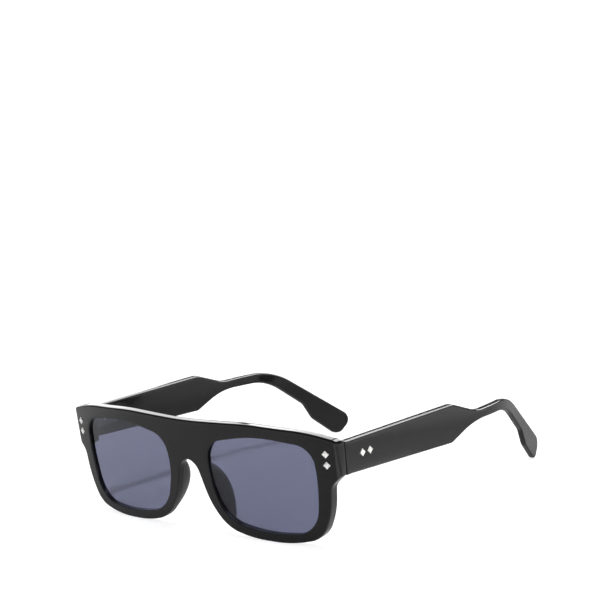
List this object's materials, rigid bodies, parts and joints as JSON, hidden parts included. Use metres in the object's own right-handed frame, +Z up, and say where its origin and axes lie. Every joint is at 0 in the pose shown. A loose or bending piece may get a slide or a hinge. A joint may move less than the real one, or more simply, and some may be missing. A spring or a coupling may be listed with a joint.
{
  "type": "rectangular sunglasses",
  "caption": "Rectangular flat-topped sunglasses with a bowed acetate front, smoke lenses, bonded nose pads and wide-bladed temples that fold on riveted barrel hinges.",
  "frame": {"origin": "middle of the open glasses' box, on the surface that they stand on", "axes": "+X to the wearer's left, +Y from the front to the temple tips, +Z up"},
  "size_m": [0.146, 0.1544, 0.0466],
  "materials": {
    "acetate_front": "polished black acetate",
    "acetate_temple": "polished black acetate",
    "smoke_lens": "blue-grey smoke tint",
    "rivet_silver": "polished silver plate",
    "hinge_steel": "tumbled nickel silver"
  },
  "bodies": {
    "front": {"front_frame": "acetate_front", "lens_left": "smoke_lens", "lens_right": "smoke_lens", "nose_pad_left": "acetate_front", "nose_pad_right": "acetate_front", "front_hinge_leaf_left": "hinge_steel", "front_hinge_leaf_right": "hinge_steel", "front_rivet_upper_left": "rivet_silver", "front_rivet_lower_left": "rivet_silver", "front_rivet_upper_right": "rivet_silver", "front_rivet_lower_right": "rivet_silver", "hinge_screw_left": "hinge_steel", "hinge_screw_right": "hinge_steel"},
    "temple_arm_left": {"temple_left": "acetate_temple", "core_wire_left": "hinge_steel", "temple_hinge_leaf_left": "hinge_steel", "temple_rivet_front_left": "rivet_silver", "temple_rivet_rear_left": "rivet_silver"},
    "temple_arm_right": {"temple_right": "acetate_temple", "core_wire_right": "hinge_steel", "temple_hinge_leaf_right": "hinge_steel", "temple_rivet_front_right": "rivet_silver", "temple_rivet_rear_right": "rivet_silver"}
  },
  "joints": [
    {"name": "fold_left", "type": "hinge", "parent": "front", "child": "temple_arm_left", "pos_m": [0.06744, -0.06219, 0.03467], "axis": [0, 0, 1], "range_deg": [0, 84]},
    {"name": "fold_right", "type": "hinge", "parent": "front", "child": "temple_arm_right", "pos_m": [-0.06744, -0.06219, 0.03467], "axis": [0, 0, -1], "range_deg": [0, 67]}
  ]
}
